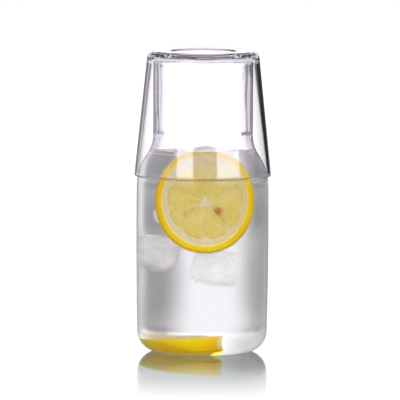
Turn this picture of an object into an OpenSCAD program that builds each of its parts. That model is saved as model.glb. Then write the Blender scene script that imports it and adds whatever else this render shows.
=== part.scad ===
// Bedside carafe with its tumbler turned over the neck, holding water, ice and two pieces of lemon.
// Millimetres, +Z up. The origin is the centre of the face the carafe stands on, and -Y is the front.

/* [Carafe] */
// Height of the carafe to the top of its rim
carafe_h = 177.5; // [165:0.5:195]
// Outside diameter of the body at its widest
body_d = 79.6; // [74:0.2:90]
// Height at which the body is widest
belly_z = 78; // [60:1:90]
// How much slimmer the body is just above its bottom corner, in diameter
foot_taper = 1.6; // [0:0.1:4]
// Radius of the rounded corner round the bottom
base_corner_r = 12.6; // [8:0.2:16]
// Height at which the shoulder starts to turn in
shoulder_z = 100; // [95:1:105]
// Radius of the shoulder's outward curve
shoulder_r = 34; // [28:1:38]
// Radius of the hollow curve from the shoulder into the neck
sweep_r = 20; // [16:1:24]
// Outside diameter of the neck
neck_d = 60; // [54:0.5:64]
// Thickness of the glass in the body
body_wall = 3; // [2:0.1:3.6]
// Thickness of the glass in the neck, whose rim is a full round
neck_wall = 4.2; // [2.6:0.1:5]
// Thickness of the base at its rim
base_t = 2.8; // [2.4:0.1:5]
// Width of the flat ring that the carafe stands on, round the shallow hollow under its base
ring_w = 4.4; // [2:0.1:8]
// Height of that hollow at its middle
punt_h = 1; // [0.4:0.1:1.4]

/* [Tumbler] */
// How far the tumbler's lip stays above the start of the shoulder
lip_above_shoulder = 6.2; // [2:0.2:14]
// Thickness of the tumbler's base at its rim, which is uppermost while it covers the neck
tumbler_floor = 3.8; // [2.6:0.1:6]
// Width of the flat ring that the turned tumbler stands on, round the shallow hollow in its base
tumbler_ring_w = 8.8; // [4:0.2:12]
// Depth of that hollow at its middle
tumbler_punt_h = 0.8; // [0.4:0.1:1.2]
// Thickness of the tumbler's side where it meets the base
tumbler_wall = 2.6; // [2:0.1:3.4]
// Thickness of the tumbler's side at its rounded lip
lip_wall = 1.7; // [1.4:0.1:2.2]
// Radius round the outside of the tumbler's base
tumbler_corner_r = 5; // [3:0.2:7]
// Radius inside, where the tumbler's side meets its base
tumbler_fillet_r = 2.5; // [1.5:0.1:3.5]
// Gap between the carafe's rim and the tumbler's base above it
seat_gap = 0.3; // [0.2:0.05:0.6]
// Gap all round between the neck and the tumbler's side at its base
neck_gap = 1.25; // [0.8:0.05:2.5]
// Gap all round between the tumbler's lip and the shoulder
lip_gap = 0.55; // [0.4:0.05:1.5]

/* [Water] */
// Height of the water's surface above the start of the shoulder
water_above_shoulder = 21.2; // [16:0.2:22]

/* [Lemon] */
// How much less the whole slice reaches from its middle to its top than the carafe's inside radius
slice_room = 7; // [6.8:0.2:11]
// Thickness of the whole slice
slice_t = 6.4; // [5:0.1:8]
// How much smaller the radius of the half slice on the bottom is than the carafe's inside
half_room = 7.8; // [6:0.2:11]
// Thickness of the half slice
half_t = 7; // [4:0.1:9]
// Width of the yellow rind on a cut face
rind_w = 4.2; // [1.5:0.1:5]
// Width of the white ring inside the rind
pith_w = 3.2; // [1.5:0.1:6]
// Number of segments in a slice
segments = 9; // [7:1:12]
// Thickness of the skin between two segments
skin_t = 0.9; // [0.5:0.1:1.5]
// Radius of the white core
core_r = 3.2; // [2:0.1:4]
// Radius at the outer corners of a segment
segment_corner_r = 2.4; // [1:0.1:3]
// Length of a seed
seed_l = 7.6; // [5:0.2:9]
// Thickness of a seed
seed_d = 3.6; // [2.4:0.1:4.4]
// Gap between the core and a seed's point
seed_gap = 2; // [1:0.1:4]
// How far the whole slice leans back, in degrees
slice_lean = 14; // [0:1:18]
// Depth of the whole slice's top below the water's surface
slice_depth = 0.2; // [0:0.1:4]
// How far the whole slice is off centre, to the right
slice_shift = 1.4; // [0:0.1:3]
// How far the half slice tilts up to the right, in degrees
half_tilt = 4; // [0:0.5:6]
// Gap that lemon and ice keep from the glass
film = 0.3; // [0.2:0.05:1]

/* [Ice] */
// How much less the sides of the largest cubes are than the carafe's inside radius
ice_room = 14.8; // [14:0.1:20]
// Gap between the top of the whole slice and the top cube behind it
ice_gap = 2.9; // [1:0.1:5]
// How far the top cube stands out of the water
ice_rise = 2.9; // [1:0.1:3.4]

/* [Hidden] */
$fn = 96;

glass = [0.86, 0.88, 0.92, 0.35];
water_colour = [0.80, 0.84, 0.88, 0.4];
ice_colour = [0.95, 0.97, 1, 0.6];
rind_colour = [0.93, 0.76, 0.02];
pith_colour = [0.95, 0.91, 0.78];
pulp_colour = [0.90, 0.82, 0.45];
seed_colour = [0.72, 0.52, 0.22];

// How far a cut runs past what it cuts
overrun = 1;

// Steps along the arcs of an outline
fine = 12;
coarse = 6;
few = 3;

// Points round an oval
around = 90;

// Radii of the carafe's outside, and those of its inside
body_r = body_d / 2;
foot_r = body_r - foot_taper / 2;
neck_r = neck_d / 2;
bore_r = neck_r - neck_wall;
punt_r = foot_r - base_corner_r - ring_w;
inner_corner_r = base_corner_r - body_wall;
cavity_r = body_r - body_wall;
slice_r = cavity_r - slice_room;
half_r = cavity_r - half_room;
ice_size = cavity_r - ice_room;
lip_r = lip_wall / 2;

// The body swells a little from its foot to its belly, and draws in again above it
function barrel(z) = body_r - foot_taper / 2 * pow((z - belly_z) / (belly_z - base_corner_r), 2);
shoulder_start_r = barrel(shoulder_z);

// Angle that an outward and an inward curve both turn through, to step from one radius to another
function turn(step, curves) = acos(1 - step / curves);
outer_turn = turn(shoulder_start_r - neck_r, shoulder_r + sweep_r);
neck_z = shoulder_z + (shoulder_r + sweep_r) * sin(outer_turn);

// Outside radius of the carafe at a height above its bottom corner
function outside_r(z) =
    z < shoulder_z ? barrel(z)
    : z < shoulder_z + shoulder_r * sin(outer_turn)
        ? shoulder_start_r - shoulder_r + sqrt(pow(shoulder_r, 2) - pow(z - shoulder_z, 2))
    : z < neck_z ? neck_r + sweep_r - sqrt(pow(sweep_r, 2) - pow(neck_z - z, 2))
    : neck_r;

// Heights of the tumbler at rest, and its radii
seat_z = carafe_h + seat_gap;
tumbler_top = seat_z + tumbler_floor;
lip_z = shoulder_z + lip_above_shoulder + lip_r;
lip_inner_r = outside_r(lip_z) + lip_gap;
lip_outer_r = lip_inner_r + lip_wall;
seat_inner_r = neck_r + neck_gap;
seat_outer_r = seat_inner_r + tumbler_wall;
inner_taper = (lip_inner_r - seat_inner_r) / (seat_z - lip_z);
outer_taper = (lip_outer_r - seat_outer_r) / (seat_z - lip_z);

// Places of what the carafe holds
water_z = shoulder_z + water_above_shoulder;
slice_z = water_z - slice_depth - slice_r * cos(slice_lean) - slice_t / 2 * sin(slice_lean);
slice_width_share = 0.9;
slice_reach = slice_r * slice_width_share + slice_shift;
slice_front_share = 0.92;
slice_front = slice_front_share * sqrt(pow(cavity_r - film, 2) - pow(slice_reach, 2));
slice_y = slice_t / 2 * cos(slice_lean) - slice_front;
half_lift_share = 0.5;
half_z = base_t + film + half_t / 2 + half_lift_share * half_r * sin(half_tilt);
half_offset_share = 0.84;
half_offset = (cavity_r - half_r) * half_offset_share;
half_offset_turn = 202;
half_cut_turn = 38;
half_segment_turn = 8;
seed_turns = [-34, 212];
seed_depth_share = 0.3;
seed_point_share = 1.35;

// Each cube: its centre as shares of the cavity's radius, its drop below the water and its own side
// as shares of the common side, and its tilt in degrees. The top one keeps behind the whole slice.
ice_round_share = 0.66;
slice_top_back = slice_y + slice_r * sin(slice_lean) + slice_t / 2 * cos(slice_lean);
ice_top_share = [0.03, (slice_top_back + ice_gap + ice_round_share * ice_size) / cavity_r];
ice_back_share = [-0.16, 0.40];
ice_left_share = [-0.58, 0.05];
ice_right_share = [0.19, -0.08];
ice_back_drop_share = 1.32;
ice_left_drop_share = 2.42;
ice_right_drop_share = 2.78;
ice_left_size_share = 0.90;
ice_right_size_share = 0.95;
ice_top_tilt = [6, -5, 24];
ice_back_tilt = [14, 10, 50];
ice_left_tilt = [-12, 16, 10];
ice_right_tilt = [10, 8, 34];

// Points of an arc about a centre, without its first point
function arc(centre, r, from, to, steps) = [
    for (i = [1:steps])
        let (a = from + (to - from) * i / steps)
        [centre[0] + r * cos(a), centre[1] + r * sin(a)]
];

function backwards(points) = [for (i = [len(points) - 1:-1:0]) points[i]];

// The rounded inside corner round the floor, drawn in by a margin
function cavity_corner(margin, steps) =
    let (
        corner_r = inner_corner_r - margin,
        centre = [foot_r - body_wall - margin - corner_r, base_t + margin + corner_r]
    )
    concat([[centre[0], base_t + margin]], arc(centre, corner_r, -90, 0, steps));

// The carafe's inside from the edge of its floor to the start of its straight bore
function cavity_side() =
    let (
        start_r = shoulder_start_r - body_wall,
        out_r = shoulder_r - body_wall,
        in_r = sweep_r + neck_wall,
        angle = turn(start_r - bore_r, out_r + in_r),
        bore_z = shoulder_z + (out_r + in_r) * sin(angle),
        side_z = base_t + inner_corner_r
    )
    concat(
        cavity_corner(0, fine),
        [
            for (i = [1:coarse])
                let (z = side_z + (shoulder_z - side_z) * i / coarse)
                [barrel(z) - body_wall, z]
        ],
        arc([start_r - out_r, shoulder_z], out_r, 0, angle, fine),
        arc([bore_r + in_r, bore_z], in_r, 180 + angle, 180, coarse)
    );

function carafe_outline() =
    let (
        punt_arc_r = (pow(punt_r, 2) + pow(punt_h, 2)) / (2 * punt_h),
        rim_r = neck_wall / 2
    )
    concat(
        [[0, punt_h]],
        arc([0, punt_h - punt_arc_r], punt_arc_r, 90, 90 - asin(punt_r / punt_arc_r), coarse),
        [[foot_r - base_corner_r, 0]],
        arc([foot_r - base_corner_r, base_corner_r], base_corner_r, -90, 0, fine),
        [
            for (i = [1:coarse])
                let (z = base_corner_r + (shoulder_z - base_corner_r) * i / coarse)
                [barrel(z), z]
        ],
        arc([shoulder_start_r - shoulder_r, shoulder_z], shoulder_r, 0, outer_turn, fine),
        arc([neck_r + sweep_r, neck_z], sweep_r, 180 + outer_turn, 180, coarse),
        [[neck_r, carafe_h - rim_r]],
        arc([neck_r - rim_r, carafe_h - rim_r], rim_r, 0, 180, fine),
        backwards(cavity_side()),
        [[0, base_t]]
    );

// The tumbler's outline, upside down over the neck
function tumbler_outline() =
    let (
        outer_a = atan(outer_taper),
        inner_a = atan(inner_taper),
        corner_z = tumbler_top - tumbler_corner_r,
        corner_x = seat_outer_r + outer_taper * (seat_z - corner_z) - tumbler_corner_r / cos(outer_a),
        fillet_z = seat_z - tumbler_fillet_r,
        fillet_x = seat_inner_r + inner_taper * (seat_z - fillet_z) - tumbler_fillet_r / cos(inner_a),
        lip_centre = [lip_inner_r + lip_r, lip_z],
        punt_edge_r = corner_x - tumbler_ring_w,
        punt_arc_r = (pow(punt_edge_r, 2) + pow(tumbler_punt_h, 2)) / (2 * tumbler_punt_h),
        punt_turn = asin(punt_edge_r / punt_arc_r),
        punt_low = tumbler_top - tumbler_punt_h
    )
    concat(
        [[0, seat_z], [fillet_x, seat_z]],
        arc([fillet_x, fillet_z], tumbler_fillet_r, 90, inner_a, coarse),
        [lip_centre - lip_r * [cos(inner_a), sin(inner_a)]],
        arc(lip_centre, lip_r, 180 + inner_a, 360 + outer_a, fine),
        [[corner_x, corner_z] + tumbler_corner_r * [cos(outer_a), sin(outer_a)]],
        arc([corner_x, corner_z], tumbler_corner_r, outer_a, 90, fine),
        backwards(arc([0, punt_low + punt_arc_r], punt_arc_r, -90, punt_turn - 90, coarse)),
        [[0, punt_low]]
    );

// The room inside the carafe up to the water's surface
module filled_room() {
    intersection() {
        rotate_extrude()
            polygon(concat([[0, base_t]], cavity_side(), [[bore_r, carafe_h], [0, carafe_h]]));
        cylinder(h = water_z, r = body_r);
    }
}

// An oval outline, round when its width share is 1
function oval(r, width_share) = [
    for (i = [0:around - 1])
        let (a = 360 * i / around)
        [width_share * r * cos(a), r * sin(a)]
];

// Outline of one segment, with its middle turned to an angle and its width drawn in by a share
function segment_points(r, middle, width_share) =
    let (
        half = 180 / segments,
        skin = skin_t / 2,
        corner = [
            sqrt(pow(r - segment_corner_r, 2) - pow(skin + segment_corner_r, 2)),
            skin + segment_corner_r
        ],
        lean = atan2(corner[1], corner[0]),
        side = concat(
            [[sqrt(pow(core_r, 2) - pow(skin, 2)), skin]],
            [[corner[0], skin]],
            arc(corner, segment_corner_r, -90, lean, coarse),
            arc([0, 0], r, lean, half, coarse)
        ),
        low = [for (p = side) turned(p, middle - half)],
        high = [for (i = [len(side) - 2:-1:0]) turned([side[i][0], -side[i][1]], middle + half)]
    )
    [for (p = concat(low, high)) [width_share * p[0], p[1]]];

function turned(p, a) = [p[0] * cos(a) - p[1] * sin(a), p[0] * sin(a) + p[1] * cos(a)];

// All segments of a slice, one of whose skins points down the slice
module segments_of(r, width_share, t, cut = 0) {
    for (i = [0:segments - 1])
        translate([0, 0, -t / 2 - cut])
            linear_extrude(t + 2 * cut)
                polygon(segment_points(
                    r - rind_w - pith_w,
                    -90 + (i + 1 / 2) * 360 / segments,
                    width_share
                ));
}

// A slice without a hole, centred on its thickness
module disc(r, width_share, t) {
    if (width_share == 1)
        cylinder(h = t, r = r, center = true);
    else
        linear_extrude(t, center = true)
            polygon(oval(r, width_share));
}

module rind_of(r, width_share, t) {
    difference() {
        disc(r, width_share, t);
        disc(r - rind_w, width_share, t + 2 * overrun);
    }
}

module pith_of(r, width_share, t) {
    difference() {
        disc(r - rind_w, width_share, t);
        segments_of(r, width_share, t, overrun);
    }
}

// A seed lies along +X with its point inwards
module seed() {
    rotate([0, -90, 0])
        rotate_extrude()
            polygon(concat(
                [[0, seed_l / 2]],
                [
                    for (i = [1:fine])
                        let (u = i / fine)
                        [seed_d / 2 * sin(180 * pow(u, seed_point_share)), seed_l * (1 / 2 - u)]
                ]
            ));
}

module seeds_in(t) {
    for (a = seed_turns)
        rotate(a)
            translate([core_r + seed_gap + seed_l / 2, 0, t / 2 - seed_depth_share * seed_d])
                seed();
}

// Where the whole slice stands: near the front wall, leaning back
module at_slice() {
    translate([slice_shift, slice_y, slice_z])
        rotate([90 - slice_lean, 0, 0])
            children();
}

// Where the half slice lies: flat on the bottom towards the front left, cut face to the back right,
// and its lower edge pressed to the curve of the glass
module at_half() {
    intersection() {
        rotate(half_offset_turn)
            translate([half_offset, 0, half_z])
                rotate(-half_offset_turn)
                    rotate([0, -half_tilt, 0])
                        rotate(half_cut_turn)
                            intersection() {
                                rotate(half_segment_turn)
                                    children();
                                translate([-half_r, 0, 0])
                                    cube([2 * half_r, 2 * half_r, 2 * half_t], center = true);
                            }
        rotate_extrude()
            polygon(concat(
                [[0, base_t + film]],
                cavity_corner(film, few),
                [[foot_r - body_wall - film, shoulder_z], [0, shoulder_z]]
            ));
    }
}

// An ice cube with its edges melted round
module ice_cube(place_share, drop_share, size_share, tilt) {
    side = ice_size * size_share;
    translate([
        place_share[0] * cavity_r,
        place_share[1] * cavity_r,
        water_z + ice_rise - ice_size / 2 - drop_share * ice_size
    ])
        rotate(tilt)
            intersection() {
                cube(side, center = true);
                sphere(r = side * ice_round_share);
            }
}

module carafe() {
    color(glass)
        rotate_extrude()
            polygon(carafe_outline());
}

module tumbler() {
    color(glass)
        rotate_extrude()
            polygon(tumbler_outline());
}

module water() {
    color(water_colour)
        difference() {
            filled_room();
            at_slice()
                disc(slice_r, slice_width_share, slice_t);
            at_slice()
                seeds_in(slice_t);
            at_half()
                disc(half_r, 1, half_t);
            ice_top();
            ice_back();
            ice_left();
            ice_right();
        }
}

module slice_rind() {
    color(rind_colour)
        at_slice()
            rind_of(slice_r, slice_width_share, slice_t);
}

module slice_pith() {
    color(pith_colour)
        at_slice()
            difference() {
                pith_of(slice_r, slice_width_share, slice_t);
                seeds_in(slice_t);
            }
}

module slice_pulp() {
    color(pulp_colour)
        at_slice()
            difference() {
                segments_of(slice_r, slice_width_share, slice_t);
                seeds_in(slice_t);
            }
}

module slice_seeds() {
    color(seed_colour)
        at_slice()
            seeds_in(slice_t);
}

module half_rind() {
    color(rind_colour)
        at_half()
            rind_of(half_r, 1, half_t);
}

module half_pith() {
    color(pith_colour)
        at_half()
            pith_of(half_r, 1, half_t);
}

module half_pulp() {
    color(pulp_colour)
        at_half()
            segments_of(half_r, 1, half_t);
}

module ice_top() {
    color(ice_colour)
        ice_cube(ice_top_share, 0, 1, ice_top_tilt);
}

module ice_back() {
    color(ice_colour)
        ice_cube(ice_back_share, ice_back_drop_share, 1, ice_back_tilt);
}

module ice_left() {
    color(ice_colour)
        ice_cube(ice_left_share, ice_left_drop_share, ice_left_size_share, ice_left_tilt);
}

module ice_right() {
    color(ice_colour)
        ice_cube(ice_right_share, ice_right_drop_share, ice_right_size_share, ice_right_tilt);
}

carafe();
tumbler();
water();
slice_rind();
slice_pith();
slice_pulp();
slice_seeds();
half_rind();
half_pith();
half_pulp();
ice_top();
ice_back();
ice_left();
ice_right();
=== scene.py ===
# Looks of a glass bedside carafe under its upturned tumbler, full of iced lemon water.
# Lengths are millimetres, in the frame of the CAD model, and turn to metres as meshes are made.
import math

import bmesh
import bpy
import numpy as np
from mathutils import Euler, Matrix, Quaternion, Vector, noise


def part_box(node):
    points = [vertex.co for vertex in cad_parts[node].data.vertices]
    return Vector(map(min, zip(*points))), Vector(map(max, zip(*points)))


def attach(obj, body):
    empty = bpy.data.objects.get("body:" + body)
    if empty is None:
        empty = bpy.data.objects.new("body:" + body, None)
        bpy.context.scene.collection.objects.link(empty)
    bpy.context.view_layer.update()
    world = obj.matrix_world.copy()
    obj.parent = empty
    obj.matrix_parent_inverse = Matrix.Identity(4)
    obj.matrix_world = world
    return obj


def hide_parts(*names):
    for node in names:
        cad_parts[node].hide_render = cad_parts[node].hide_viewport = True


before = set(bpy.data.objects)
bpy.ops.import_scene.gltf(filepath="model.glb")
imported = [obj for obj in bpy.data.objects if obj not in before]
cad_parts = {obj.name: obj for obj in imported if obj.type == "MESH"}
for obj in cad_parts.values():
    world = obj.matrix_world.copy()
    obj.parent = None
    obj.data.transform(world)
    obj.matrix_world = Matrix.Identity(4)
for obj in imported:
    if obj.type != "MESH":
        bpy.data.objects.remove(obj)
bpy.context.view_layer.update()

MM = 0.001


def node_box(node):
    """Lowest and highest corner of a CAD node, in millimetres."""
    low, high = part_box(node)
    return low / MM, high / MM


carafe_high = node_box("carafe")[1]
tumbler_low, tumbler_high = node_box("tumbler")
water_low, water_high = node_box("water")

# The carafe, from the frame and the walls of the CAD model
CARAFE_H = carafe_high.z
BODY_R = carafe_high.x
BELLY_Z = 78
FOOT_TAPER = 0.8
CORNER_R = 12.6
SHOULDER_Z = 100
SHOULDER_R = 34
SWEEP_R = 20
NECK_R = 30
BODY_WALL = 3
NECK_WALL = 4.2
BASE_T = water_low.z
PUNT_R = 22
PUNT_H = 1

# The tumbler
TUMBLER_TOP = tumbler_high.z
TUMBLER_LOW = tumbler_low.z
TUMBLER_FLOOR = 3.8
TUMBLER_RING_W = 8.8
TUMBLER_PUNT_H = 0.8
TUMBLER_WALL = 2.6
LIP_WALL = 1.7
TUMBLER_CORNER_R = 5
TUMBLER_FILLET_R = 2.5
NECK_GAP = 1.25

# The water
WATER_Z = water_high.z
MENISCUS_H = 1.3
MENISCUS_REACH = 1.1
WATER_GAP = 0.04

# Fineness of the lathed meshes
AROUND = 256
ARC_STEP = 4
LONGEST = 1.8

foot_r = BODY_R - FOOT_TAPER
bore_r = NECK_R - NECK_WALL
cavity_r = BODY_R - BODY_WALL


def arc(centre, radius, start, end, step=ARC_STEP):
    """Points of an arc in degrees, without its first point."""
    count = max(2, math.ceil(abs(end - start) / step))
    angles = [math.radians(start + (end - start) * i / count) for i in range(1, count + 1)]
    return [(centre[0] + radius * math.cos(a), centre[1] + radius * math.sin(a)) for a in angles]


def turn(step, curves):
    """Angle of an outward and an inward curve that together step from one radius to another."""
    return math.degrees(math.acos(1 - step / curves))


def barrel(z):
    return BODY_R - FOOT_TAPER * ((z - BELLY_Z) / (BELLY_Z - CORNER_R)) ** 2


def barrel_points(wall, low, high, count=24):
    heights = [low + (high - low) * i / count for i in range(1, count + 1)]
    return [(barrel(z) - wall, z) for z in heights]


def shoulder_points(start_r, out_r, in_r, end_r):
    """The shoulder's outward curve and the hollow one above it, up to the straight neck."""
    angle = turn(start_r - end_r, out_r + in_r)
    top = SHOULDER_Z + (out_r + in_r) * math.sin(math.radians(angle))
    return (
        arc((start_r - out_r, SHOULDER_Z), out_r, 0, angle)
        + arc((end_r + in_r, top), in_r, 180 + angle, 180)
    )


def carafe_outside():
    punt_arc_r = (PUNT_R ** 2 + PUNT_H ** 2) / (2 * PUNT_H)
    punt_turn = math.degrees(math.asin(PUNT_R / punt_arc_r))
    return (
        [(0, PUNT_H)]
        + arc((0, PUNT_H - punt_arc_r), punt_arc_r, 90, 90 - punt_turn, 1)
        + [(foot_r - CORNER_R, 0)]
        + arc((foot_r - CORNER_R, CORNER_R), CORNER_R, -90, 0)
        + barrel_points(0, CORNER_R, SHOULDER_Z)
        + shoulder_points(barrel(SHOULDER_Z), SHOULDER_R, SWEEP_R, NECK_R)
        + [(NECK_R, CARAFE_H - NECK_WALL / 2)]
    )


def carafe_inside(margin=0.0):
    """The inside from the middle of the floor up to the bore, drawn in by a margin."""
    corner_r = CORNER_R - BODY_WALL - margin
    corner = (foot_r - BODY_WALL - margin - corner_r, BASE_T + margin + corner_r)
    return (
        [(0, BASE_T + margin), (corner[0], BASE_T + margin)]
        + arc(corner, corner_r, -90, 0)
        + barrel_points(BODY_WALL + margin, corner[1], SHOULDER_Z)
        + shoulder_points(
            barrel(SHOULDER_Z) - BODY_WALL - margin,
            SHOULDER_R - BODY_WALL - margin,
            SWEEP_R + NECK_WALL + margin,
            bore_r - margin,
        )
    )


def refined(points, longest=LONGEST):
    """The same outline with its long straight stretches divided."""
    result = [points[0]]
    for (r0, z0), (r1, z1) in zip(points, points[1:]):
        pieces = max(1, math.ceil(math.hypot(r1 - r0, z1 - z0) / longest))
        result += [(r0 + (r1 - r0) * i / pieces, z0 + (z1 - z0) * i / pieces) for i in range(1, pieces + 1)]
    return result


inside_points = refined(carafe_inside() + [(bore_r, CARAFE_H - NECK_WALL / 2)])
side_r, side_z = np.array([p for p in inside_points if p[0] > 0 and p[1] > BASE_T]).T


def inside_r(z):
    """Radius of the carafe's inside at a height."""
    return np.interp(z, side_z, side_r)


def link(name, data):
    """A new object in the scene, for a mesh or a camera."""
    obj = bpy.data.objects.new(name, data)
    bpy.context.scene.collection.objects.link(obj)
    return obj


def polar(r, angle, z):
    return r * math.cos(angle), r * math.sin(angle), z


def make_object(name, points, faces, materials, picks=None):
    """A smooth mesh object from points in millimetres. picks gives each face's material."""
    mesh = bpy.data.meshes.new(name)
    mesh.from_pydata([tuple(float(c) * MM for c in p) for p in points], [], faces)
    for material in materials:
        mesh.materials.append(material)
    if picks is not None:
        mesh.polygons.foreach_set("material_index", picks)
    mesh.polygons.foreach_set("use_smooth", [True] * len(mesh.polygons))
    mesh.validate()
    mesh.update()
    return link(name, mesh)


def lathe_faces(rows, around):
    """Quads of a lathed outline, whose rows hold one point for a pole and otherwise one for each angle."""
    faces, owners = [], []
    for index, (low, high) in enumerate(zip(rows, rows[1:])):
        for j in range(around):
            k = (j + 1) % around
            corners = [low[j % len(low)], low[k % len(low)], high[k % len(high)], high[j % len(high)]]
            faces.append(tuple(dict.fromkeys(corners)))
            owners.append(index)
    return faces, owners


def lathe(name, outline, materials, pick=None, shape=None, around=AROUND):
    """Turns an outline of (radius, height) about Z. shape(r, z, angle) returns the moved point."""
    points, rows = [], []
    for r, z in outline:
        count = 1 if r < 1e-9 else around
        rows.append(list(range(len(points), len(points) + count)))
        for j in range(count):
            angle = 2 * math.pi * j / around
            points.append(shape(r, z, angle) if shape else polar(r, angle, z))
    faces, owners = lathe_faces(rows, around)
    picks = [pick(index) for index in owners] if pick else None
    return make_object(name, points, faces, materials, picks)


def waver(r, z, angle, size):
    """Small change of radius of blown glass, the same at the start and the end of a turn."""
    return size * (
        0.5 * math.sin(3 * angle + z / 19)
        + 0.3 * math.sin(5 * angle - z / 11 + 1)
        + 0.2 * math.sin(8 * angle + z / 6.5 + 2)
    )


def srgb(red, green, blue):
    """A colour of 0 to 255 as Blender's linear numbers, with an alpha of 1."""
    parts = [c / 255 for c in (red, green, blue)]
    return tuple(c / 12.92 if c <= 0.04045 else ((c + 0.055) / 1.055) ** 2.4 for c in parts) + (1,)


class Nodes:
    """A material's or a world's node tree, with short words for the nodes used most."""

    def __init__(self, owner):
        self.end = "ShaderNodeOutput" + ("World" if isinstance(owner, bpy.types.World) else "Material")
        owner.use_nodes = True
        self.tree = owner.node_tree
        self.tree.nodes.clear()

    def add(self, kind, values=None, **settings):
        node = self.tree.nodes.new(kind)
        for key, value in settings.items():
            setattr(node, key, value)
        for key, value in (values or {}).items():
            self.put(node.inputs[key], value)
        return node

    def put(self, socket, value):
        if isinstance(value, bpy.types.NodeSocket):
            self.tree.links.new(value, socket)
        else:
            socket.default_value = value

    def math(self, operation, *values, clamp=False):
        node = self.add("ShaderNodeMath", dict(enumerate(values)), operation=operation, use_clamp=clamp)
        return node.outputs[0]

    def times(self, first, second):
        return self.math("MULTIPLY", first, second)

    def plus(self, first, second, clamp=False):
        return self.math("ADD", first, second, clamp=clamp)

    def rest(self, value):
        return self.math("SUBTRACT", 1.0, value)

    def ramp(self, value, low, high, to_low=0.0, to_high=1.0):
        """A smooth step of a value, from one range to another."""
        sockets = {"Value": value, "From Min": low, "From Max": high, "To Min": to_low, "To Max": to_high}
        return self.add("ShaderNodeMapRange", sockets, interpolation_type="SMOOTHSTEP").outputs["Result"]

    def fade(self, length, low, high, to_low=0.0, to_high=1.0):
        """The same for a length, between limits in millimetres."""
        return self.ramp(length, low * MM, high * MM, to_low, to_high)

    def facing(self, blend=0.5):
        """Nought where a surface faces the ray, one where it is seen edge on."""
        return self.add("ShaderNodeLayerWeight", {"Blend": blend}).outputs["Facing"]

    def attribute(self, name):
        return self.add("ShaderNodeAttribute", attribute_name=name).outputs["Fac"]

    def cells(self, vector, scale, feature="F1"):
        """Distance from the middles of scattered cells, or from their edges."""
        values = {"Vector": vector, "Scale": scale}
        return self.add("ShaderNodeTexVoronoi", values, feature=feature).outputs["Distance"]

    def blend(self, factor, first, second, mode="MIX"):
        node = self.add("ShaderNodeMix", data_type="RGBA", blend_type=mode)
        for socket, value in ((node.inputs[0], factor), (node.inputs[6], first), (node.inputs[7], second)):
            self.put(socket, value)
        return node.outputs[2]

    def place(self):
        """Position in the object's own frame, in metres, as a vector and as three sockets."""
        vector = self.add("ShaderNodeTexCoord").outputs["Object"]
        parts = self.add("ShaderNodeSeparateXYZ", {0: vector}).outputs
        return vector, parts[0], parts[1], parts[2]

    def noise(self, vector, scale, detail=3.0, roughness=0.5, distortion=0.0):
        values = {
            "Vector": vector, "Scale": scale, "Detail": detail, "Roughness": roughness,
            "Distortion": distortion,
        }
        return self.add("ShaderNodeTexNoise", values).outputs["Fac"]

    def bump(self, height, strength, distance):
        values = {"Height": height, "Strength": strength, "Distance": distance * MM}
        return self.add("ShaderNodeBump", values).outputs["Normal"]

    def mix(self, factor, first, second):
        return self.add("ShaderNodeMixShader", {0: factor, 1: first, 2: second}).outputs[0]

    def output(self, shader):
        self.add(self.end, {"Surface": shader})


def new_material(name):
    material = bpy.data.materials.new(name)
    return material, Nodes(material)


def as_material(build):
    """Puts the material of a function's name and shader in the function's place."""
    material, n = new_material(build.__name__)
    n.output(build(n))
    return material


# Glass, water and ice

GLASS_IOR = 1.5
WATER_IOR = 1.333
ICE_IOR = 1.31
# colour of the painted shade where ice is seen edge on
ICE_RIM_SHADE = (0.5, 0.5, 0.52, 1)
GLASS_TINT = (0.985, 0.978, 0.992, 1)
LAMP_TINT = (0.95, 0.95, 0.95, 1)
# colour of the painted shade where glass is seen edge on
EDGE_SHADE = (0.30, 0.28, 0.33, 1)
TUMBLER_EDGE = (0.9, 0.995)
CARAFE_EDGE = (0.82, 0.98)
BORE_EDGE = (0.22, 0.33)
LIP_CREAM = (0.70, 0.69, 0.62, 1)
LIP_FADE = (1.5, 1.1)
# painted dark reflection: a near-black line where the neck is seen edge on, stronger on the right
NECK_DARK_REFLECTION = (0.08, 0.07, 0.10, 1)
NECK_DARK_REFLECTION_FACING = (0.62, 0.8)
NECK_DARK_REFLECTION_Z = (112, 120)
# painted shade: the glass darker towards the bottom of the foot
FOOT_SHADE = (0.78, 0.77, 0.76, 1)
FOOT_SHADE_Z = (12, 3)
# painted shade: the foot's thick glass darker towards the right
FOOT_RIGHT_SHADE = (0.42, 0.405, 0.415, 1)
FOOT_RIGHT_SHADE_Z = (18, 8)
FOOT_RIGHT_SHADE_X = (2, 28)
# painted reflection of the lying slice's peel in the thick glass under it
PEEL_REFLECTION = (1.35, 1.08, 0.02, 1)
PEEL_REFLECTION_Z = (6, 4)
PEEL_REFLECTION_ACROSS = (-8, -11)
GLOSS_Z = (103, 112)
HALF_CUT_TURN = 38
# painted shade of the bore's wall, lighter on the left and darker on the right
BORE_SHADES = ((0.62, 0.6, 0.68, 1), (0.24, 0.22, 0.28, 1))


def lets_lamps_through(n, shader, tint=LAMP_TINT):
    """Lamps shine through the glass, so that they light what it holds."""
    passing = n.add("ShaderNodeBsdfTransparent", {"Color": tint}).outputs[0]
    return n.mix(n.add("ShaderNodeLightPath").outputs["Is Shadow Ray"], shader, passing)


def painted_edge_shade(n, low, high, tint, from_glass=False):
    """Painted shade: glass seen edge on is tinted darker, on request only where light leaves it."""
    amount = n.ramp(n.facing(), low, high)
    if from_glass:
        amount = n.times(amount, n.add("ShaderNodeNewGeometry").outputs["Backfacing"])
    return n.blend(amount, GLASS_TINT, tint)


def clear_shader(n, ior, tint=GLASS_TINT, **values):
    sockets = {"Base Color": tint, "Roughness": 0.0, "IOR": ior, "Transmission Weight": 1.0}
    sockets.update(values)
    return n.add("ShaderNodeBsdfPrincipled", sockets).outputs[0]


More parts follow.
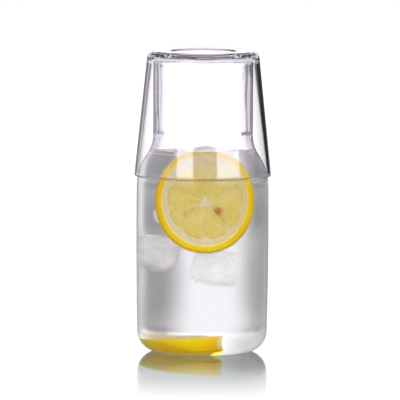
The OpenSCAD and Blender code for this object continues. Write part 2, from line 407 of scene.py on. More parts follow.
def smear_bump(n, vector):
    """The faint unevenness of a blown surface."""
    return n.bump(n.noise(vector, 38, 2), 0.5, 0.05)


@as_material
def neck_inside(n):
    """The bore's wall, with painted shade where it is seen edge on, which darkens more to the right."""
    vector, x = n.place()[:2]
    gray = n.blend(n.fade(x, -5, 5), *BORE_SHADES)
    tint = painted_edge_shade(n, *BORE_EDGE, gray, True)
    return lets_lamps_through(n, clear_shader(n, GLASS_IOR, tint, Normal=smear_bump(n, vector)))


@as_material
def tumbler_glass(n):
    """Clear glass with a creamy lip, and painted shade where it is seen edge on."""
    place = n.place()
    vector, z = place[0], place[3]
    tint = painted_edge_shade(n, *TUMBLER_EDGE, EDGE_SHADE)
    lip = n.fade(z, TUMBLER_LOW + LIP_FADE[0], TUMBLER_LOW + LIP_FADE[1])
    tint = n.blend(lip, tint, LIP_CREAM, "MULTIPLY")
    return lets_lamps_through(n, clear_shader(n, GLASS_IOR, tint, Normal=smear_bump(n, vector)))


MIST_TOP = 84
MIST_FULL = 62
MIST_ROUGHNESS = 0.26
MIST_LEAST = 0.09
MIST_LEAST_Z = (WATER_Z + 2, WATER_Z - 10)
MIST_FOOT = (4, 14, 0.45, 1)
MIST_PATCH = 12


@as_material
def misted_glass(n):
    """The carafe's outside: clear neck, and a body that cold water has misted over. Its tint carries painted
    shade at the edges and the foot, a painted dark reflection on the neck and a painted reflection of the
    peel.
    """
    vector, x, y, z = n.place()
    patches = n.noise(vector, 22, 3)
    level = n.plus(z, n.times(n.math("SUBTRACT", patches, 0.5), MIST_PATCH * MM))
    mist = n.fade(level, MIST_TOP, MIST_FULL)
    mist = n.times(mist, n.fade(z, *MIST_FOOT))
    rough = n.times(mist, n.ramp(patches, 0.2, 0.8, 0.8 * MIST_ROUGHNESS, MIST_ROUGHNESS))
    rough = n.math("MAXIMUM", rough, n.fade(level, *MIST_LEAST_Z, 0, MIST_LEAST))
    beads = n.cells(vector, 700.0)
    height = n.times(n.ramp(beads, 0.1, 0.5, 1, 0), mist)
    normal = n.bump(height, 0.25, 0.08)
    tint = painted_edge_shade(n, *CARAFE_EDGE, EDGE_SHADE)
    # painted dark reflection: a near-black line where the neck is seen edge on, stronger on the right
    line = n.times(n.ramp(n.facing(), *NECK_DARK_REFLECTION_FACING), n.fade(z, *NECK_DARK_REFLECTION_Z))
    tint = n.blend(n.times(line, n.fade(x, -2, 2, 0.5, 1)), tint, NECK_DARK_REFLECTION)
    # painted shade: the glass darker towards the bottom of the foot
    tint = n.blend(n.fade(z, *FOOT_SHADE_Z), tint, FOOT_SHADE, "MULTIPLY")
    # painted shade: the foot's thick glass darker towards the right
    thick = n.times(n.fade(z, *FOOT_RIGHT_SHADE_Z), n.fade(x, *FOOT_RIGHT_SHADE_X))
    tint = n.blend(thick, tint, FOOT_RIGHT_SHADE, "MULTIPLY")
    # painted reflection: the peel of the lying slice, as a yellow tint on the thick glass under it
    cut = math.radians(HALF_CUT_TURN)
    across = n.plus(n.times(x, math.cos(cut)), n.times(y, math.sin(cut)))
    under = n.times(n.fade(across, *PEEL_REFLECTION_ACROSS), n.fade(z, *PEEL_REFLECTION_Z))
    tint = n.blend(under, tint, PEEL_REFLECTION, "MULTIPLY")
    gloss = n.fade(z, *GLOSS_Z, 0.1, 1)
    gloss = n.add("ShaderNodeCombineColor", {0: gloss, 1: gloss, 2: gloss}).outputs[0]
    values = {"Roughness": rough, "Normal": normal, "Specular Tint": gloss}
    return lets_lamps_through(n, clear_shader(n, GLASS_IOR, tint, **values))


@as_material
def wet_glass(n):
    """Where glass meets water, light bends as little as their indices differ."""
    vector = n.place()[0]
    shader = clear_shader(n, GLASS_IOR / WATER_IOR, tint=(1, 1, 1, 1), Normal=smear_bump(n, vector))
    return lets_lamps_through(n, shader, (1, 1, 1, 1))


@as_material
def water_top(n):
    vector = n.place()[0]
    ripple = n.bump(n.noise(vector, 90, 2), 0.4, 0.12)
    return lets_lamps_through(n, clear_shader(n, WATER_IOR, tint=(0.97, 0.98, 1, 1), Normal=ripple))


@as_material
def water_side(n):
    """The water's edge, which the wet glass already bends light at."""
    vector = n.place()[0]
    tint = n.blend(n.noise(vector, 15), (0.985, 0.988, 0.992, 1), (0.99, 0.985, 0.985, 1))
    return n.add("ShaderNodeBsdfTransparent", {"Color": tint}).outputs[0]


def ice(name, ior):
    """Melting ice: clear at its skin but for painted shade where it is seen edge on, with a cloudy white
    heart and fine cracks.
    """
    material, n = new_material(name)
    vector = n.place()[0]
    clouds = n.noise(vector, 75, 5, 0.6, 0.6)
    cracks = n.cells(vector, 110.0, "DISTANCE_TO_EDGE")
    facing = n.facing(0.35)
    heart = n.ramp(facing, 0.15, 0.95, 0.55, 0.12)
    white = n.plus(heart, n.ramp(clouds, 0.35, 0.75, -0.15, 0.25))
    white = n.plus(white, n.ramp(cracks, 0.0, 0.03, 0.25, 0.0), clamp=True)
    normal = n.bump(clouds, 0.5, 0.4)
    tint = n.blend(clouds, (0.90, 0.90, 0.93, 1), (0.97, 0.96, 0.95, 1))
    veil = n.mix(
        0.5,
        n.add("ShaderNodeBsdfDiffuse", {"Color": tint}).outputs[0],
        n.add("ShaderNodeBsdfTranslucent", {"Color": tint}).outputs[0],
    )
    # painted shade: the ice's skin darker where it is seen edge on
    skin = n.blend(n.ramp(facing, 0.25, 0.75), (0.99, 0.99, 1, 1), ICE_RIM_SHADE)
    clear = clear_shader(n, ior, skin, Roughness=0.12, Normal=normal)
    n.output(lets_lamps_through(n, n.mix(white, clear, veil), (0.8, 0.8, 0.82, 1)))
    return material


# Lemon

def fruit_shader(n, colour, roughness, glow, normal, wet=0.5):
    """Lit flesh, with a share of the light coming through from behind."""
    front = n.add("ShaderNodeBsdfPrincipled", {
        "Base Color": colour, "Roughness": roughness, "Normal": normal, "IOR": 1.38,
        "Specular IOR Level": wet,
    }).outputs[0]
    behind = n.add("ShaderNodeBsdfTranslucent", {"Color": colour, "Normal": normal}).outputs[0]
    return n.mix(glow, front, behind)


@as_material
def lemon_peel(n):
    """Glossy yellow zest with oil pores, which pales where the cut face meets the pith."""
    vector = n.place()[0]
    rim = n.attribute("depth")
    patches = n.noise(vector, 34, 3)
    pores = n.cells(vector, 620.0)
    zest = n.blend(n.ramp(patches, 0.35, 0.7), srgb(232, 208, 0), srgb(236, 184, 0))
    pitted = n.blend(n.ramp(pores, 0.0, 0.35, 0.3, 0), zest, srgb(220, 168, 0))
    colour = n.blend(n.ramp(rim, 0.5, 1.0), pitted, srgb(240, 226, 150))
    normal = n.bump(n.ramp(pores, 0.0, 0.5), 0.6, 0.25)
    return fruit_shader(n, colour, 0.34, 0.12, normal, 0.1)


SOAK_Z = 90


@as_material
def lemon_pith(n):
    vector, x, _, z = n.place()
    fibres = n.noise(vector, 420, 4, 0.6)
    stains = n.noise(vector, 55, 2)
    pale = n.blend(n.ramp(fibres, 0.35, 0.7), srgb(240, 228, 194), srgb(232, 216, 172))
    pale = n.blend(n.ramp(stains, 0.45, 0.75, 0, 0.4), pale, srgb(234, 218, 156))
    skin = n.attribute("skin")
    colour = n.blend(n.times(skin, 0.8), pale, srgb(236, 221, 146))
    # above the core the skins are soaked to the colour of the flesh
    soaked = n.times(skin, n.fade(z, SOAK_Z - 3, SOAK_Z + 5, 0.1, 0.95))
    colour = n.blend(soaked, colour, srgb(236, 217, 118))
    yellowed = n.times(n.fade(x, 2, 20, 0, 0.6), n.fade(z, 30, 60))
    colour = n.blend(yellowed, colour, srgb(234, 217, 136))
    return fruit_shader(n, colour, 0.6, 0.35, n.bump(fibres, 0.5, 0.15), 0.2)


@as_material
def lemon_pulp(n):
    """Juice vesicles: wet, see-through yellow grains with paler skins between them."""
    vector = n.place()[0]
    grain = n.attribute("grain")
    tone = n.attribute("tone")
    stain = n.attribute("stain")
    clouds = n.ramp(n.noise(vector, 70, 3, 0.6), 0.42, 0.7, 0, 0.55)
    juice = n.blend(tone, srgb(238, 222, 128), srgb(232, 212, 104))
    juice = n.blend(clouds, juice, srgb(240, 229, 168))
    skins = n.blend(n.ramp(grain, 0.0, 0.35, 0.5, 0), juice, srgb(240, 228, 160))
    colour = n.blend(stain, skins, srgb(190, 112, 30))
    normal = n.bump(n.noise(vector, 500, 3), 0.4, 0.12)
    return fruit_shader(n, colour, 0.22, 0.45, normal, 0.3)


@as_material
def lemon_seed(n):
    vector, x = n.place()[:2]
    streaks = n.noise(vector, 300, 3)
    colour = n.blend(streaks, srgb(176, 104, 48), srgb(204, 140, 84))
    colour = n.blend(n.fade(x, 2, -2, 0, 0.75), colour, srgb(226, 196, 104))
    return fruit_shader(n, colour, 0.35, 0.1, n.bump(streaks, 0.4, 0.1))


@as_material
def bubble_film(n):
    """Air in water: light bends the other way at its skin."""
    vector = n.place()[0]
    normal = n.bump(n.noise(vector, 900, 1), 0.1, 0.02)
    return lets_lamps_through(n, clear_shader(n, 1 / WATER_IOR, tint=(1, 1, 1, 1), Normal=normal))


WET_ICE = ice("wet_ice", ICE_IOR / WATER_IOR)
DRY_ICE = ice("dry_ice", ICE_IOR)


def keep(obj, slot, body, *nodes):
    """A finished piece rides on its body and stands for its nodes. The slot is not used."""
    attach(obj, body)
    if nodes:
        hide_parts(*nodes)


# The carafe

WAVER_INSIDE = 0.11
WAVER_OUTSIDE = 0.02
WET_TOP = WATER_Z + MENISCUS_H


def make_carafe():
    outside = refined(carafe_outside())
    rim = arc((NECK_R - NECK_WALL / 2, CARAFE_H - NECK_WALL / 2), NECK_WALL / 2, 0, 180, 10)
    upper = [p for p in inside_points if p[1] > WET_TOP][::-1][1:]
    lower = [p for p in inside_points if p[1] < WET_TOP][::-1]
    outline = outside + rim + upper + [(float(inside_r(WET_TOP)), WET_TOP)] + lower
    inside_from = len(outside) + len(rim)
    wet_from = inside_from + len(upper)
    inside_set = set(outline[inside_from:])

    def pick(index):
        return 0 if index < inside_from else 1 if index < wet_from else 2

    def shape(r, z, angle):
        size = WAVER_INSIDE if (r, z) in inside_set else WAVER_OUTSIDE
        size *= min(1, r / bore_r) * min(1, max(0.0, CARAFE_H - z) / 12)
        return polar(r + waver(r, z, angle, size), angle, z)

    obj = lathe("carafe_glass", outline, [misted_glass, neck_inside, wet_glass], pick, shape)
    keep(obj, "clear_glass", "carafe", "carafe")


def tumbler_outline():
    lip_r = LIP_WALL / 2
    lip_z = TUMBLER_LOW + lip_r
    seat_z = TUMBLER_TOP - TUMBLER_FLOOR
    lip_inner = tumbler_high.x - LIP_WALL
    seat_inner = NECK_R + NECK_GAP
    seat_outer = seat_inner + TUMBLER_WALL
    inner_taper = (lip_inner - seat_inner) / (seat_z - lip_z)
    outer_taper = (lip_inner + LIP_WALL - seat_outer) / (seat_z - lip_z)
    inner_turn = math.degrees(math.atan(inner_taper))
    outer_turn = math.degrees(math.atan(outer_taper))
    corner_z = TUMBLER_TOP - TUMBLER_CORNER_R
    corner_x = (
        seat_outer + outer_taper * (seat_z - corner_z)
        - TUMBLER_CORNER_R / math.cos(math.radians(outer_turn))
    )
    fillet_z = seat_z - TUMBLER_FILLET_R
    fillet_x = (
        seat_inner + inner_taper * (seat_z - fillet_z)
        - TUMBLER_FILLET_R / math.cos(math.radians(inner_turn))
    )
    lip = (lip_inner + lip_r, lip_z)
    punt_edge = corner_x - TUMBLER_RING_W
    punt_low = TUMBLER_TOP - TUMBLER_PUNT_H
    return (
        [(0, seat_z), (fillet_x, seat_z)]
        + arc((fillet_x, fillet_z), TUMBLER_FILLET_R, 90, inner_turn, 8)
        + arc(lip, lip_r, 180 + inner_turn - 1, 180 + inner_turn, 10)
        + arc(lip, lip_r, 180 + inner_turn, 360 + outer_turn, 10)
        + arc((corner_x, corner_z), TUMBLER_CORNER_R, outer_turn - 0.1, 90, 6)
        + [(punt_edge, TUMBLER_TOP), (punt_edge - 0.2, TUMBLER_TOP - 0.06)]
        + [(punt_edge - 0.5, punt_low + 0.3), (punt_edge - 0.9, punt_low + 0.2), (0, punt_low)]
    )


def make_tumbler():
    def shape(r, z, angle):
        size = 0.035 * min(1, r / bore_r)
        moved = r + waver(r, z, angle + 0.7, size) - size
        lift = 0.05 * waver(r, z, angle, 1) * min(1, r / bore_r) if z < TUMBLER_TOP - 1 else 0
        return polar(moved, angle, z + lift)

    obj = lathe("tumbler_glass", refined(tumbler_outline()), [tumbler_glass], shape=shape)
    keep(obj, "clear_glass", "tumbler", "tumbler")


def make_water():
    """The water, with its edge drawn up a little where it wets the glass."""
    side = [p for p in refined(carafe_inside(WATER_GAP)) if p[1] < WET_TOP - 0.2]
    wall_r = float(inside_r(WET_TOP)) - WATER_GAP
    steps = [0, 0.15, 0.35, 0.6, 0.9, 1.3, 1.8, 2.4, 3.2, 4.4, 6, 9, 13, 18, 23]
    top = [(wall_r - d, WATER_Z + MENISCUS_H * math.exp(-d / MENISCUS_REACH)) for d in steps]
    outline = side + top + [(0, WATER_Z)]
    side_count = len(side)

    def shape(r, z, angle):
        size = WAVER_INSIDE * min(1, r / bore_r) if z < WET_TOP - 0.01 and r > wall_r - 0.1 else 0
        return polar(r + waver(r, z, angle, size), angle, z)

    def pick(index):
        return 0 if index < side_count else 1

    obj = lathe("water_fill", outline, [water_side, water_top], pick, shape, around=192)
    keep(obj, "water", "carafe", "water")


# Ice

ICE_SUBDIVISIONS = 5
ICE = {
    "ice_top": (22, (6, -5, 24)),
    "ice_back": (22, (14, 10, 50)),
    "ice_left": (19.8, (-12, 16, 10)),
    "ice_right": (20.9, (10, 8, 34)),
}
ICE_ROUND_SHARE = 0.66
ICE_POWER = 4.5
ICE_MELT = 0.075


def make_ice(node):
    """A cube with edges melted round and its faces melted unevenly."""
    low, high = node_box(node)
    centre = (low + high) / 2
    size, angles = ICE[node]
    half = size / 2
    tilt = Euler([math.radians(a) for a in angles]).to_matrix()
    work = bmesh.new()
    bmesh.ops.create_cube(work, size=2)
    bmesh.ops.subdivide_edges(work, edges=work.edges[:], cuts=2 ** ICE_SUBDIVISIONS - 1, use_grid_fill=True)
    seed = Vector((centre.x, centre.y, centre.z)) / 9
    for vertex in work.verts:
        direction = vertex.co.copy()
        # a superellipsoid between cube and ball
        length = sum(abs(c) ** ICE_POWER for c in direction) ** (1 / ICE_POWER)
        point = direction / length * half
        reach = 2 * half * ICE_ROUND_SHARE
        if point.length > reach:
            point *= reach / point.length
        melt = noise.noise(direction * 1.3 + seed) * 0.9 + noise.noise(direction * 3.5 + seed) * 0.35
        inward = 0.5 + 0.5 * melt
        point *= 1 - ICE_MELT * inward
        vertex.co = (tilt @ point + centre) * MM
    mesh = bpy.data.meshes.new(node + "_cube")
    work.to_mesh(mesh)
    work.free()
    mesh.polygons.foreach_set("use_smooth", [True] * len(mesh.polygons))
    mesh.materials.append(WET_ICE)
    mesh.materials.append(DRY_ICE)
    dry = [1 if p.center.z > WATER_Z * MM else 0 for p in mesh.polygons]
    mesh.polygons.foreach_set("material_index", dry)
    keep(link(node + "_cube", mesh), "ice", "carafe", node)


# Lemon slices, built flat about their own axis with their front face up

SEGMENTS = 9
SLICE_R = 29.8
SLICE_WIDTH_SHARE = 0.9
SLICE_T = 6.4
SLICE_LEAN = 14
HALF_R = 29
HALF_T = 7
HALF_TILT = 4
RIND_W = 4.2
PITH_W = 3.2
SKIN_T = 0.6
CORE_R = 3.2
LOBE_R = 4
SEED_L = 7.6
SEED_D = 3.6
SEED_REACH = 9
SEED_TURNS = (-34, 212)
PEEL_EDGE = 0.7
PEEL_SWELL = 0.25
PEEL_STEPS = (0.12, 0.25, 0.4, 0.55, 0.7, 0.85)
END_PALE = 8
SEGMENT_GAP = 0.12
CORE_LEAST = 1.4
FIRST_SKIN = -90
PITH_AROUND = 360
PITH_RINGS = 58
PULP_SINK = 1.7
PULP_ROWS = 46
PULP_COLUMNS = 30
VESICLE_W = 1.7
VESICLE_STEP = 3.1
VESICLE_STRETCH = 2.4


def peel_lump(x, y, z):
    spot = Vector((x, y, z))
    return 0.22 * noise.noise(spot * 0.16) + 0.1 * noise.noise(spot * 0.6)


def add_floats(obj, name, values):
    layer = obj.data.attributes.new(name, "FLOAT", "POINT")
    layer.data.foreach_set("value", np.array(values, np.float32))


def rind_loop(r, t):
    """Cross-section of the rind as (radius, height, depth), depth 0 at the skin and 1 at the pith."""
    e = PEEL_EDGE
    back = [(r - RIND_W * k, -t / 2, k) for k in (1, 0.75, 0.5, 0.35)]
    back += [(r - e * (1 - math.sin(a)), -t / 2 + e * (1 - math.cos(a)), 0.15) for a in (0.4, 0.8, 1.2)]
    skin = [(r + PEEL_SWELL * math.sin(math.pi * k), -t / 2 + t * k, 0) for k in PEEL_STEPS]
    front = [(radius, -z, depth) for radius, z, depth in reversed(back)]
    return back + skin + front + [(r - RIND_W, t / 2 - t * k, 1) for k in (0.33, 0.67)]


def make_rind(name, r, t, turns, notch, clamp):
    """The rind as a ring, or part of one with a notched, paler cut at each end."""
    loop = rind_loop(r, t)
    start, end = turns
    whole = end - start >= 360
    count = max(8, int((end - start) * 1.2))
    points, depths = [], []
    for j in range(count if whole else count + 1):
        share = j / count
        to_end = math.radians(min(share, 1 - share) * (end - start)) * r
        pale = 0 if whole else max(0.0, 1 - to_end / END_PALE)
        for radius, z, depth in loop:
            bite = notch * max(0.0, 1 - abs(z) / (t / 2)) / r
            reach = math.radians(start) + bite + share * (math.radians(end - start) - 2 * bite)
            x, y = radius * math.cos(reach), radius * math.sin(reach)
            lump = 1 + peel_lump(x, y, z) * (1 - depth) / r
            points.append(clamp(x * lump, y * lump, z))
            depths.append(max(depth, pale))
    faces, size = [], len(loop)
    for j in range(count):
        for i in range(size):
            a, b = j * size, ((j + 1) % (count if whole else count + 1)) * size
            k = (i + 1) % size
            faces.append((a + i, b + i, b + k, a + k))
    if not whole:
        faces.append(tuple(range(size)))
        faces.append(tuple(count * size + i for i in reversed(range(size))))
    obj = make_object(name, points, faces, [lemon_peel])
    add_floats(obj, "depth", depths)
    return obj


def segment_inset(x, y, outer):
    """Distance inside the nearest segment's outline, negative on skins, core and pith."""
    radius = math.hypot(x, y)
    half = math.pi / SEGMENTS
    angle = (math.atan2(y, x) - math.radians(FIRST_SKIN)) % (2 * half) - half
    along, across = radius * math.cos(angle), abs(radius * math.sin(angle))
    to_skin = along * math.sin(half) - across * math.cos(half) - SKIN_T / 2
    to_outer = outer - radius
    core = CORE_R * (0.85 + 0.4 * math.cos(3 * (math.atan2(y, x) - math.pi / 2)))
    inner = radius - core
    if to_skin < LOBE_R and to_outer < LOBE_R:
        corner = LOBE_R - math.hypot(LOBE_R - to_skin, LOBE_R - to_outer)
        return min(corner, inner)
    return min(to_skin, to_outer, inner)


def make_pith(name, r, t, clamp, cut=None):
    """The pith as one plate: a ring, the skins between segments and the core, hollowed where pulp lies."""
    rings = PITH_RINGS
    rim, outer = r - RIND_W, r - RIND_W - PITH_W

    def shaped(radius, z, angle):
        x, y = radius * math.cos(angle), radius * math.sin(angle)
        inset = segment_inset(x, y, outer)
        sink = PULP_SINK * min(1, max(0, inset / 0.5)) if abs(z) > t / 4 else 0
        swell = 0.12 * noise.noise(Vector((x, y, z)) * 0.5) if abs(z) > t / 4 else 0
        height = z - math.copysign(sink, z) - (swell if z > 0 else -swell)
        return clamp(x, y, height)

    back = [(rim * i / rings, -t / 2) for i in range(rings + 1)]
    edge = [(rim, -t / 2 + t * k) for k in (0.25, 0.5, 0.75)]
    front = [(rim * (rings - i) / rings, t / 2) for i in range(rings + 1)]
    obj = lathe(name, back + edge + front, [lemon_pith], shape=shaped, around=PITH_AROUND)
    if cut:
        cut_open(obj, cut)
    skins = []
    for vertex in obj.data.vertices:
        radius = vertex.co.xy.length / MM
        skins.append(min(1.0, max(0.0, radius - CORE_R - 1) / 2, max(0.0, outer - 1 - radius) / 2))
    add_floats(obj, "skin", skins)
    return obj


def cut_open(obj, cut):
    """Cuts a piece by a plane, keeps the side the normal points away from, and closes the cut."""
    point, normal = cut
    work = bmesh.new()
    work.from_mesh(obj.data)
    bmesh.ops.remove_doubles(work, verts=work.verts[:], dist=1e-6)
    geometry = work.verts[:] + work.edges[:] + work.faces[:]
    result = bmesh.ops.bisect_plane(
        work, geom=geometry, plane_co=Vector(point) * MM, plane_no=normal, clear_outer=True
    )
    edges = [g for g in result["geom_cut"] if isinstance(g, bmesh.types.BMEdge)]
    bmesh.ops.triangle_fill(work, edges=edges, use_beauty=True)
    bmesh.ops.recalc_face_normals(work, faces=work.faces[:])
    work.to_mesh(obj.data)
    work.free()


def vesicles(rng, outer):
    """Centres of the juice vesicles of one segment, along its middle, with a tone for each."""
    half = math.pi / SEGMENTS
    centres = []
    radius = CORE_R + 1.5
    while radius < outer:
        width = radius * math.tan(half)
        across = max(1, round(2 * width / VESICLE_W))
        for k in range(across):
            place = (k + 0.5) / across * 2 - 1
            centres.append((
                radius + rng.uniform(-1.2, 1.2), place * width + rng.uniform(-0.35, 0.35), rng.uniform(0, 1)
            ))
        radius += VESICLE_STEP
    return np.array(centres)


def make_pulp(name, r, t, clamp, stains=(), cut=None):
    """All the segments of a slice: pillows that fill the hollows, grained with vesicles."""
    outer = r - RIND_W - PITH_W
    rng = np.random.default_rng(7)
    rows, columns = PULP_ROWS, PULP_COLUMNS
    half = math.pi / SEGMENTS
    points, faces, grains, tones, marks = [], [], [], [], []
    for segment in range(SEGMENTS):
        middle = math.radians(FIRST_SKIN) + (segment + 0.5) * 2 * half
        centres = vesicles(rng, outer)
        for side in (1, -1):
            first = len(points)
            for i in range(rows + 1):
                radius = CORE_LEAST + (outer - CORE_LEAST) * i / rows
                for j in range(columns + 1):
                    # rows bow so that the last one follows the outer arc
                    angle = half * (2 * j / columns - 1) * 0.999
                    x, y = radius * math.cos(angle), radius * math.sin(angle)
                    world_x = x * math.cos(middle) - y * math.sin(middle)
                    world_y = x * math.sin(middle) + y * math.cos(middle)
                    inset = segment_inset(world_x, world_y, outer) - SEGMENT_GAP
                    stretch = np.hypot((centres[:, 0] - x) / VESICLE_STRETCH, centres[:, 1] - y)
                    order = np.partition(stretch, 1)[:2]
                    grain = float(order[1] - order[0])
                    tone = float(centres[int(np.argmin(stretch)), 2])
                    swell = 1 - math.exp(-max(0.0, inset) / 0.9)
                    height = t / 2 - 0.3 + 0.35 * swell + 0.25 * min(1.0, grain / 0.8) * swell
                    points.append(clamp(world_x, world_y, side * min(height, t / 2 + 0.25)))
                    grains.append(min(1.0, grain))
                    tones.append(tone)
                    stain = max(
                        (math.exp(-((world_x - sx) ** 2 + (world_y - sy) ** 2) / size ** 2) * depth
                         for sx, sy, size, depth in stains), default=0.0,
                    )
                    marks.append(stain)
            for i in range(rows):
                for j in range(columns):
                    a = first + i * (columns + 1) + j
                    quad = (a, a + columns + 1, a + columns + 2, a + 1)
                    faces.append(quad if side == 1 else quad[::-1])
        size = (rows + 1) * (columns + 1)
        top, bottom = len(points) - 2 * size, len(points) - size
        border = (
            list(range(columns))
            + [i * (columns + 1) + columns for i in range(rows)]
            + [rows * (columns + 1) + j for j in range(columns, 0, -1)]
            + [i * (columns + 1) for i in range(rows, 0, -1)]
        )
        for a, b in zip(border, border[1:] + border[:1]):
            faces.append((top + a, top + b, bottom + b, bottom + a))
    obj = make_object(name, points, faces, [lemon_pulp])
    for key, values in (("grain", grains), ("tone", tones), ("stain", marks)):
        add_floats(obj, key, values)
    if cut:
        cut_open(obj, cut)
    return obj


def make_seeds(name, t):
    """Teardrop seeds, sunk in the front face."""
    around, steps = 20, 16
    points, faces = [], []
    for angle in SEED_TURNS:
        turn_by = Matrix.Rotation(math.radians(angle), 3, "Z")
        centre = turn_by @ Vector((SEED_REACH, 0, 0))
        centre.z = t / 2 - 0.3 * SEED_D
        first = len(points)
        for i in range(steps + 1):
            u = i / steps
            thick = SEED_D / 2 * math.sin(math.pi * u ** 1.35) if 0 < i < steps else 0.02
            for j in range(around):
                a = 2 * math.pi * j / around
                local = Vector((SEED_L * (0.5 - u), thick * math.cos(a), thick * math.sin(a)))
                points.append(tuple(turn_by @ local + centre))
        rows = [[first + i * around + j for j in range(around)] for i in range(steps + 1)]
        faces += lathe_faces(rows, around)[0]
        faces += [tuple(reversed(rows[0])), tuple(rows[-1])]
    return make_object(name, points, faces, [lemon_seed])


def squeezed(x, y, z):
    return SLICE_WIDTH_SHARE * x, y, z


def put(obj, matrix):
    """Moves a piece by moving its mesh, so that its object stays at the origin."""
    moved = matrix.copy()
    moved.translation *= MM
    obj.data.transform(moved)
    return obj


slice_back_low, slice_back_high = node_box("slice_rind")
SLICE_SHIFT = (slice_back_low.x + slice_back_high.x) / 2
lean = math.radians(SLICE_LEAN)
SLICE_Z = slice_back_high.z - SLICE_R * math.cos(lean) - SLICE_T / 2 * math.sin(lean)
SLICE_Y = slice_back_high.y - SLICE_T / 2 * math.cos(lean) - SLICE_R * math.sin(lean)
SLICE_PLACE = Matrix.Translation((SLICE_SHIFT, SLICE_Y, SLICE_Z)) @ Matrix.Rotation(
    math.radians(90 - SLICE_LEAN), 4, "X"
)
SLICE_STAINS = ((7.6, -5.4, 2.6, 0.9), (-11.5, -7.0, 2.2, 0.35), (10.0, -11.5, 1.8, 0.3))


def make_slice():
    pieces = [
        (make_rind("slice_peel", SLICE_R, SLICE_T, (0, 360), 0, squeezed), "lemon_rind", "slice_rind"),
        (make_pith("slice_white", SLICE_R, SLICE_T, squeezed), "lemon_pith", "slice_pith"),
        (make_pulp("slice_flesh", SLICE_R, SLICE_T, squeezed, SLICE_STAINS), "lemon_pulp", "slice_pulp"),
        (make_seeds("slice_pips", SLICE_T), "lemon_seed", "slice_seeds"),
    ]
    for obj, slot, node in pieces:
        keep(put(obj, SLICE_PLACE), slot, "carafe", node)


HALF_OFFSET = 0.84 * (cavity_r - HALF_R)
HALF_OFFSET_TURN = math.radians(202)
FILM = 0.3
HALF_END = 2
HALF_NOTCH = 2.2
HALF_Z = BASE_T + FILM + HALF_T / 2 + 0.5 * HALF_R * math.sin(math.radians(HALF_TILT))


def make_half():
    """Half a slice, lying on the bottom and pressed to the curve of the glass."""
    centre = Vector((
        HALF_OFFSET * math.cos(HALF_OFFSET_TURN), HALF_OFFSET * math.sin(HALF_OFFSET_TURN), HALF_Z
    ))
    turned = Matrix.Rotation(-math.radians(HALF_TILT), 3, "Y") @ Matrix.Rotation(
        math.radians(HALF_CUT_TURN), 3, "Z"
    )

    def pressed(x, y, z):
        spot = turned @ Vector((x, y, z)) + centre
        spot.z = max(spot.z, BASE_T + FILM)
        reach = float(inside_r(spot.z)) - FILM - 0.05
        flat = math.hypot(spot.x, spot.y)
        if flat > reach:
            spot.x *= reach / flat
            spot.y *= reach / flat
        return tuple(turned.transposed() @ (spot - centre))

    place = Matrix.Translation(centre) @ turned.to_4x4()
    cut = ((-HALF_END, 0, 0), (1, 0, 0))
    pieces = [
        (make_rind("half_peel", HALF_R, HALF_T, (90, 270), HALF_NOTCH, pressed), "lemon_rind", "half_rind"),
        (make_pith("half_white", HALF_R, HALF_T, pressed, cut), "lemon_pith", "half_pith"),
        (make_pulp("half_flesh", HALF_R, HALF_T, pressed, cut=cut), "lemon_pulp", "half_pulp"),
    ]
    for obj, slot, node in pieces:
        keep(put(obj, place), slot, "carafe", node)


# Bubbles that cling to the ice

BUBBLES = {"ice_right": 26, "ice_left": 12, "ice_back": 8}


def make_bubbles():
    rng = np.random.default_rng(11)
    points, faces = [], []
    work = bmesh.new()
    bmesh.ops.create_icosphere(work, subdivisions=2, radius=1)
    shell = [v.co.copy() for v in work.verts]
    shell_faces = [tuple(v.index for v in f.verts) for f in work.faces]
    work.free()
    for node, count in BUBBLES.items():
        low, high = node_box(node)
        centre, half = (low + high) / 2, (high.x - low.x) / 2
        for _ in range(count):
            side = math.radians(rng.uniform(-150, -30))
            rise = math.radians(rng.uniform(-35, 40))
            out = Vector((math.cos(side) * math.cos(rise), math.sin(side) * math.cos(rise), math.sin(rise)))
            size = rng.uniform(0.25, 0.7)
            middle = centre + out * (half + rng.uniform(0.2, 1.4))
            first = len(points)
            points += [tuple(middle + s * size) for s in shell]
            faces += [tuple(first + i for i in f) for f in shell_faces]
    obj = make_object("bubbles", points, faces, [bubble_film])
    keep(obj, "ice", "carafe")


# Stage: floor, light and camera, in metres

# A dip gives the middle of a dark stretch, its half width and that of its core, in degrees from +Y towards
# +X, and sometimes how often it comes back in a turn. The world's limits are sines of the height.
STUDIO = 1.16
SKY = 1.32
MIRRORED_SKY = (1.55, 1.42, 1.52, 1)
SURROUND_DIFFUSE = 0.5
CARD = 0.02
CARD_DIP = (28, 13, 9)
CARD_FROM = (-0.048, -0.034)
CARD_UP_TO = (0.03, 0.015)
GRAY_CARD = 0.75
GRAY_DIP = (-25, 8)
SIDE_CARD = 0.12
SIDE_DIP = (51, 8, 5)
SIDE_UP_TO = (0.05, 0.03)
HORIZON = (0.055, 0.035)
HORIZON_SHINE = (-0.1, 0.2, 0.3, 0.03)
CEILING = 0.25
CEILING_FROM = (0.16, 0.3)

# How much of the light is left after it was mirrored
INNER_DIM = (0.66, 0.63, 0.70, 1)
MIRRORED_DIM = (0.22, 0.21, 0.24, 1)
MIRRORED_FROM = (-0.05, -0.01)
FAR_DIM = (0.05, 0.045, 0.06, 1)
FAR_DIP = (0, 33, 26, 1)
FAR_UP_TO = (0.035, 0.01)
LEFT_DIM = (0.66, 0.64, 0.7, 1)
LEFT_FROM = (-19, -27)
HIGH_DIM = (0.55, 0.53, 0.58, 1)
HIGH_FROM = (0.06, 0.14)


def dip(n, azimuth, middle, width, flat=0, times=4):
    """One near a direction that comes back a number of times in a turn, nought beyond a width from it."""
    offset = n.math("SUBTRACT", azimuth, math.radians(middle))
    wave = n.math("COSINE", n.times(offset, float(times)))
    return n.ramp(wave, math.cos(math.radians(times * width)), math.cos(math.radians(times * flat)))


